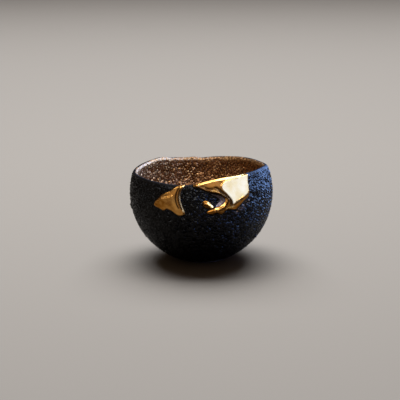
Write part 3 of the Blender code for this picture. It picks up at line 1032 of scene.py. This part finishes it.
# %% Sockets that can be added and multiplied
class Socket:
    """An output of a node. Arithmetic on it adds Math nodes."""

    def __init__(self, finish, output):
        self.finish = finish
        self.output = output

    def __add__(self, other):
        return self.finish.math("ADD", self, other)

    def __sub__(self, other):
        return self.finish.math("SUBTRACT", self, other)

    def __rsub__(self, other):
        return self.finish.math("SUBTRACT", other, self)

    def __mul__(self, other):
        return self.finish.math("MULTIPLY", self, other)

    __radd__ = __add__
    __rmul__ = __mul__


print("sockets can be added, subtracted and multiplied, with numbers and with each other")


# %% A material and its nodes
class Finish:
    """A material and the nodes that make it."""

    def __init__(self, name, **constants):
        self.material = bpy.data.materials.new(name)
        self.material.use_nodes = True
        self.tree = self.material.node_tree
        self.shader = self.tree.nodes["Principled BSDF"]
        for socket, value in constants.items():
            self.shader.inputs[socket.replace("_", " ")].default_value = value
        self.place = self.node("ShaderNodeTexCoord", out="Object")

    def node(self, kind, settings=None, inputs=None, out=0):
        """Adds a node: its settings first, then the values or links of its sockets."""
        node = self.tree.nodes.new(kind)
        for setting, value in (settings or {}).items():
            setattr(node, setting, value)
        for socket, value in (inputs or {}).items():
            self.feed(node.inputs[socket], value)
        return Socket(self, node.outputs[out])

    def feed(self, socket, value):
        if isinstance(value, Socket):
            self.tree.links.new(value.output, socket)
        else:
            socket.default_value = value

    def math(self, operation, *values):
        return self.node("ShaderNodeMath", {"operation": operation}, dict(enumerate(values)))

    def between(self, share, start, end):
        """A colour mixed from two others, which are sockets 6 and 7 of the Mix node."""
        start, end = [(*colour, 1) if isinstance(colour, tuple) else colour for colour in (start, end)]
        return self.node("ShaderNodeMix", {"data_type": "RGBA"}, {0: share, 6: start, 7: end}, out=2)

    def noise(self, grain, detail=2.0):
        """Cloudy noise whose blotches are about as wide as the grain, in metres."""
        inputs = {"Vector": self.place, "Scale": 1 / grain, "Detail": detail}
        return self.node("ShaderNodeTexNoise", None, inputs)

    def ramp(self, value, low, high):
        """0 below the low value, 1 above the high one, and smooth between."""
        settings = {"interpolation_type": "SMOOTHSTEP"}
        return self.node("ShaderNodeMapRange", settings, {"Value": value, "From Min": low, "From Max": high})

    def grains(self, size, slope, roundness):
        """Height in metres of small rounded grains of a size, each leaning its own way."""
        cell = {"Vector": self.place, "Scale": 1 / size}
        colour = self.node("ShaderNodeTexVoronoi", None, cell, out="Color")
        middle = Socket(self, colour.output.node.outputs["Position"])
        away = self.vector("SUBTRACT", self.place, middle)
        lean = self.vector("SUBTRACT", colour, (0.5, 0.5, 0.5))
        tilt = 2 * slope * self.vector("DOT_PRODUCT", away, lean, out="Value")
        return tilt - roundness / size * self.vector("DOT_PRODUCT", away, away, out="Value")

    def vector(self, operation, first, second, out="Vector"):
        return self.node("ShaderNodeVectorMath", {"operation": operation}, {0: first, 1: second}, out)

    def measure(self, name):
        """A number that the mesh carries at each of its points."""
        return self.node("ShaderNodeAttribute", {"attribute_name": name}, out="Fac")

    def wear(self, colour, roughness, height):
        """Joins the finished values to the shader, with the relief's height in metres."""
        self.feed(self.shader.inputs["Base Color"], colour)
        self.feed(self.shader.inputs["Roughness"], roughness)
        bump = self.node("ShaderNodeBump", None, {"Strength": 1.0, "Distance": 1.0, "Height": height})
        self.feed(self.shader.inputs["Normal"], bump)
        return self.material


print("a finish knows", ", ".join(name for name in vars(Finish) if not name.startswith("_")))


# %% The cup's coats, one after the other
def coat(material):
    """Gives the cup its next finish. The order is that of the finishes' numbers."""
    cup.data.materials.append(material)
    print(material.name, "has", len(material.node_tree.nodes), "nodes")


# %% [markdown]
# ### Black glaze
#
# The glaze is almost black and shines like wet pitch on the beads, while the valleys between them stay
# dull. So roughness falls towards each bead's top, by the share that the mesh carries, and rises on the
# smooth lip. Bead tops also lean at random, which breaks one broad highlight into many small ones. Under
# the right plate some beads have caught gold dust, and turn a little metallic.

# %% Black glaze: wet on the beads, dull between them
COLD_BLACK = (0.0008, 0.0008, 0.001)
WARM_BLACK = (0.002, 0.0016, 0.0013)
DUSTY_GOLD = (0.25, 0.145, 0.085)


def black_glaze():
    glaze = Finish("beaded_black_glaze", Specular_IOR_Level=0.125)
    bead = glaze.measure("bead")
    lip = glaze.measure("lip")
    cloud = glaze.noise(9 * MM)
    colour = glaze.between(glaze.ramp(cloud, 0.35, 0.7), COLD_BLACK, WARM_BLACK)
    dust = glaze.measure("dust") * glaze.ramp(glaze.noise(0.8 * MM, 3.0), 0.3, 0.5)
    colour = glaze.between(dust, colour, DUSTY_GOLD)
    glaze.feed(glaze.shader.inputs["Metallic"], 0.8 * dust)
    roughness = 0.22 - 0.12 * bead + 0.04 * cloud + 0.35 * lip + 0.2 * dust
    relief = (1 - lip) * glaze.grains(1.25 * MM, 0.45, 0.4)
    return glaze.wear(colour, roughness, relief)


coat(black_glaze())

# %% [markdown]
# ### Bright gold
#
# Fired gold is a mirror with a warm tint. One tint alone looks like plastic, so the colour goes from pale,
# where the gold is thick, to brown, where it is thin, and to nearly bare clay in the creases. Part of that
# brown and near-bare darkening is painted shade on the rolls, creases and left tip, and part of the pale is
# painted highlight along the bright edges. Thin gold also shows more of the rough clay under it, so its
# relief grows as it thins.

# %% Bright gold
PALE_GOLD = (0.88, 0.50, 0.16)
DEEP_GOLD = (0.80, 0.41, 0.10)
# The two browns below stand partly for thin and worn gold and partly for painted shade.
THIN_AND_SHADED_GOLD = (0.31, 0.116, 0.012)
BARE_AND_SHADED_BROWN = (0.05, 0.022, 0.007)


def bright_gold():
    gold = Finish("bright_gold", Metallic=1.0)
    cloud = gold.noise(5 * MM, 4.0)
    # The thin measure browns the gold, partly for thin gold and partly as painted shade.
    thin = gold.measure("thin") * (0.3 + 1.4 * gold.noise(1.8 * MM, 4.0))
    thick = gold.between(gold.ramp(cloud, 0.3, 0.7), PALE_GOLD, DEEP_GOLD)
    # The bare measure darkens the gold further: partly worn gold, partly painted shade on the rolls and
    # creases.
    colour = gold.between(gold.measure("bare"), gold.between(thin, thick, THIN_AND_SHADED_GOLD), BARE_AND_SHADED_BROWN)
    relief = (0.05 + 0.30 * thin) * MM * gold.noise(2.2 * MM, 3.0)
    return gold.wear(colour, 0.15 + 0.10 * cloud, relief)


coat(bright_gold())

# %% [markdown]
# ### Bronze lining
#
# The inside is a bronze lustre over large beads: bright on their tops and dark brown between them, where
# the dark brown is painted shade in the valleys, and mottled where it thins out over the lip. It is a metal
# under a thin, glassy coat, so the shader's own coat is used, and it is weaker on the lip, where fingers
# and lips rub it.

# %% Bronze lining
SHADED_VALLEY_BROWN = (0.14, 0.052, 0.012)
BEAD_BRONZE = (0.56, 0.315, 0.12)
DULL_BRONZE = (0.32, 0.15, 0.06)
LIP_BROWN = (0.10, 0.045, 0.025)


def bronze_lining():
    bronze = Finish("bronze_lining", Metallic=0.9, Coat_Roughness=0.08)
    bead = bronze.measure("bead")
    lip = bronze.measure("lip")
    cloud = bronze.noise(7 * MM, 3.0)
    mottle = bronze.noise(0.9 * MM, 3.0)
    # Dark brown in the valleys between the beads: painted shade.
    colour = bronze.between(bead, SHADED_VALLEY_BROWN, BEAD_BRONZE)
    colour = bronze.between(0.5 * bronze.ramp(cloud, 0.4, 0.65), colour, DULL_BRONZE)
    colour = bronze.between(0.45 * lip * bronze.ramp(mottle, 0.7, 0.35), colour, LIP_BROWN)
    roughness = 0.42 - 0.13 * bead + lip * (0.01 + 0.3 * mottle)
    bronze.feed(bronze.shader.inputs["Coat Weight"], 0.35 - 0.25 * lip)
    relief = (1 - 0.3 * lip) * bronze.grains(1.4 * MM, 0.32, 0.4) + 0.06 * MM * mottle
    return bronze.wear(colour, roughness, relief)


coat(bronze_lining())

# %% [markdown]
# ### Bare clay
#
# A potter wipes the foot ring clean, or the cup would stick to the kiln's shelf. What shows there is dark
# stoneware: matt, grainy and without any gloss. Fine noise gives it both its speckle and its tooth.

# %% Bare clay under the foot
DARK_CLAY = (0.045, 0.032, 0.026)
SANDY_CLAY = (0.10, 0.075, 0.06)


def bare_clay():
    clay = Finish("bare_clay", Metallic=0.0)
    grain = clay.noise(0.4 * MM, 4.0)
    colour = clay.between(clay.ramp(grain, 0.4, 0.65), DARK_CLAY, SANDY_CLAY)
    return clay.wear(colour, 0.70 + 0.2 * grain, 0.08 * MM * grain)


coat(bare_clay())

# %% [markdown]
# ### Grey lustre
#
# Inside the tear the wall faces away from the lights, and its shade is painted in: it is made as the gold
# is, a metal, but with a darker grey tint with a hint of violet and a much softer gloss.

# %% Grey lustre on the tear's inner wall, darkened as painted shade
# Both tints are darker than the gold, as painted shade on a wall that faces away from the lights.
PALE_LUSTRE = (0.18, 0.145, 0.145)
VIOLET_LUSTRE = (0.09, 0.07, 0.08)


def shaded_grey_lustre():
    lustre = Finish("shaded_grey_lustre", Metallic=1.0)
    cloud = lustre.noise(1.2 * MM, 3.0)
    colour = lustre.between(lustre.ramp(cloud, 0.35, 0.65), PALE_LUSTRE, VIOLET_LUSTRE)
    return lustre.wear(colour, 0.38 + 0.2 * cloud, 0.10 * MM * cloud)


coat(shaded_grey_lustre())

# %% [markdown]
# ## Camera
#
# The view is level with a seated guest's eyes, looking slightly down on the cup from well away. A long
# lens from far off keeps the cup's sides nearly parallel. A short lens close by would swell its belly.

# %% Camera
LENS = 115.4
CAMERA_RISE = math.radians(13.5)
CAMERA_DISTANCE = 650 * MM
TARGET = Vector((-0.6 * MM, 0, 29.3 * MM))
camera = placed("camera", bpy.data.cameras.new("camera"))
back = Vector((0, -math.cos(CAMERA_RISE), math.sin(CAMERA_RISE)))
camera.location = TARGET + back * CAMERA_DISTANCE
camera.rotation_euler = (-back).to_track_quat("-Z", "Y").to_euler()
camera.data.lens = LENS
camera.data.clip_start = 0.01
bpy.context.scene.camera = camera
print("the camera stands", round(CAMERA_DISTANCE, 2), "m away and looks down by",
      round(math.degrees(CAMERA_RISE), 1), "degrees")  # fmt: skip

# %% [markdown]
# ## Floor
#
# The stage is one plain, pale and matt floor that runs far past the camera's view, so that no horizon
# shows. A curved backdrop would do the same, but a flat floor is all that this low view needs.

# %% Floor
STAGE_COLOUR = (0.21, 0.20, 0.19, 1)
STAGE_REACH = 3
CORNERS = ((-1, -1, 0), (1, -1, 0), (1, 1, 0), (-1, 1, 0))
floor_mesh = bpy.data.meshes.new("floor")
floor_mesh.from_pydata([Vector(corner) * STAGE_REACH for corner in CORNERS], [], [(0, 1, 2, 3)])
floor = placed("floor", floor_mesh)
floor.data.materials.append(Finish("floor", Base_Color=STAGE_COLOUR, Roughness=0.8).material)
print("the floor is", round(floor.dimensions.x, 1), "m wide")

# %% [markdown]
# ## Lights
#
# Black glaze and gold show little but what they reflect, so each light here is a soft panel with a task.
# The cool window and sky draw the blue sheen down the right side. The long front and left panels draw the
# gold's bright edges, and warm fills keep it from going black. These panels are linked to the cup alone,
# because on a pale floor they would burn out. One light from above falls on both and gives the shadow, and
# the last one lights the floor alone. Each row of a table gives a name, an azimuth, an elevation, a
# distance and a size in metres, how bright the panel looks, and its colour.

# %% Where the lights stand
CUP_LIGHTS = (
    ("window", 62, 20, 0.9, (0.5, 0.9), 5.4, (0.19, 0.345, 1.0)),
    ("sky", 125, 27, 1.0, (0.9, 0.95), 17.0, (0.26, 0.46, 1.0)),
    ("rim", 88, 50, 0.8, (0.3, 1.1), 13.0, (0.36, 0.55, 1.0)),
    ("front", 8, 56, 0.8, (1.1, 0.20), 9.4, (0.97, 1.0, 1.05)),
    ("left", -45, 38, 0.8, (1.0, 0.13), 2.9, (1.0, 0.96, 0.90)),
    ("fill right", 18, 22, 1.0, (0.5, 0.4), 0.5, (1.0, 0.86, 0.70)),
    ("fill left", -48, 19, 1.0, (0.8, 0.6), 0.29, (1.0, 0.82, 0.62)),
)
SHADOW_LIGHT = ("top", -165, 74, 0.52, (0.24, 0.24), 5.2, (1.0, 0.95, 0.88))
FLOOR_LIGHT = ("backdrop", 180, 62, 1.6, (1.8, 1.4), 7.5, (1.0, 0.99, 0.98))
print("the brightest panel is the", max(CUP_LIGHTS, key=lambda light: light[5])[0])

# %% Lights
LIT_HEIGHT = 30 * MM
ROOM_COLOUR = (0.10, 0.065, 0.04, 1)


def softbox(name, azimuth, elevation, distance, size, glow, colour):
    """A soft area light that faces the cup from an azimuth and elevation in degrees."""
    light = bpy.data.lights.new(name, "AREA")
    light.shape = "RECTANGLE"
    light.size, light.size_y = size
    light.energy = glow * math.pi * size[0] * size[1]
    light.color = colour
    thing = placed(name, light)
    away = Vector(outward(azimuth, elevation))
    thing.location = Vector((0, 0, LIT_HEIGHT)) + away * distance
    thing.rotation_euler = away.to_track_quat("Z", "Y").to_euler()
    thing.visible_camera = False
    return thing


def lit_only(lights, thing):
    """Makes lights reach one thing alone."""
    reached = bpy.data.collections.new("reached")
    reached.objects.link(thing)
    for light in lights:
        light.light_linking.receiver_collection = reached


lit_only([softbox(*light) for light in CUP_LIGHTS], cup)
softbox(*SHADOW_LIGHT)
lit_only([softbox(*FLOOR_LIGHT)], floor)
world = bpy.data.worlds.new("world")
world.use_nodes = True
world.node_tree.nodes["Background"].inputs["Color"].default_value = ROOM_COLOUR
bpy.context.scene.world = world
bpy.context.scene.view_settings.view_transform = "Standard"
print(len(bpy.data.lights), "lights")
